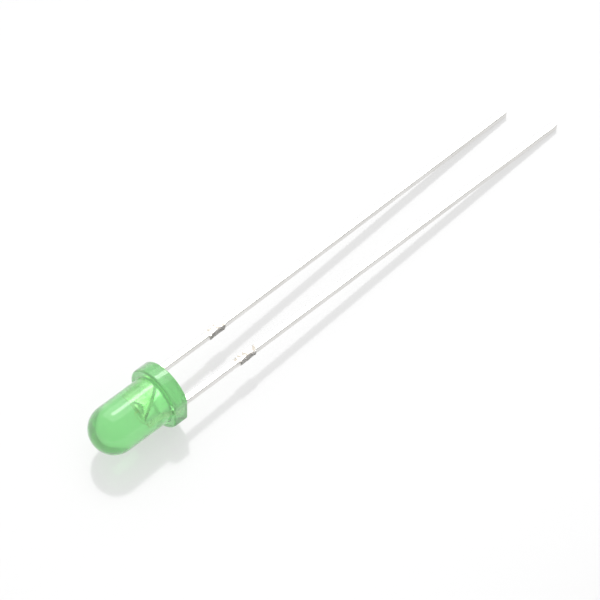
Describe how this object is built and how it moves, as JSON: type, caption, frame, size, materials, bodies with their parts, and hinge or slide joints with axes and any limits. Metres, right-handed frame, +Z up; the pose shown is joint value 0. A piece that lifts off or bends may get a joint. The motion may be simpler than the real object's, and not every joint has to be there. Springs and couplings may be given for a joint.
{
  "type": "through-hole led",
  "caption": "Round through-hole LED in green tinted epoxy, lying loose: domed lens on a flange with a flat side, reflector cup and bond wire inside, long square wire leads.",
  "frame": {"origin": "middle of the footprint of the lying lamp, on the surface it rests on", "axes": "+X along the lamp from the dome to the lead tips, +Y towards the shorter lead, away from the flange's flat, +Z up"},
  "size_m": [0.036, 0.0038, 0.0039],
  "materials": {
    "green_epoxy": "clear green tinted cast epoxy, glossy",
    "tinned_lead": "bright tin plate on stamped steel strip",
    "chip_crystal": "sawn semiconductor crystal",
    "gold": "polished gold",
    "silver_glue": "silver filled die adhesive"
  },
  "bodies": {
    "root": {"epoxy_body": "green_epoxy", "anvil_lead": "tinned_lead", "post_lead": "tinned_lead", "led_chip": "chip_crystal", "chip_contact": "gold", "bond_wire": "gold", "die_glue": "silver_glue"}
  },
  "joints": []
}
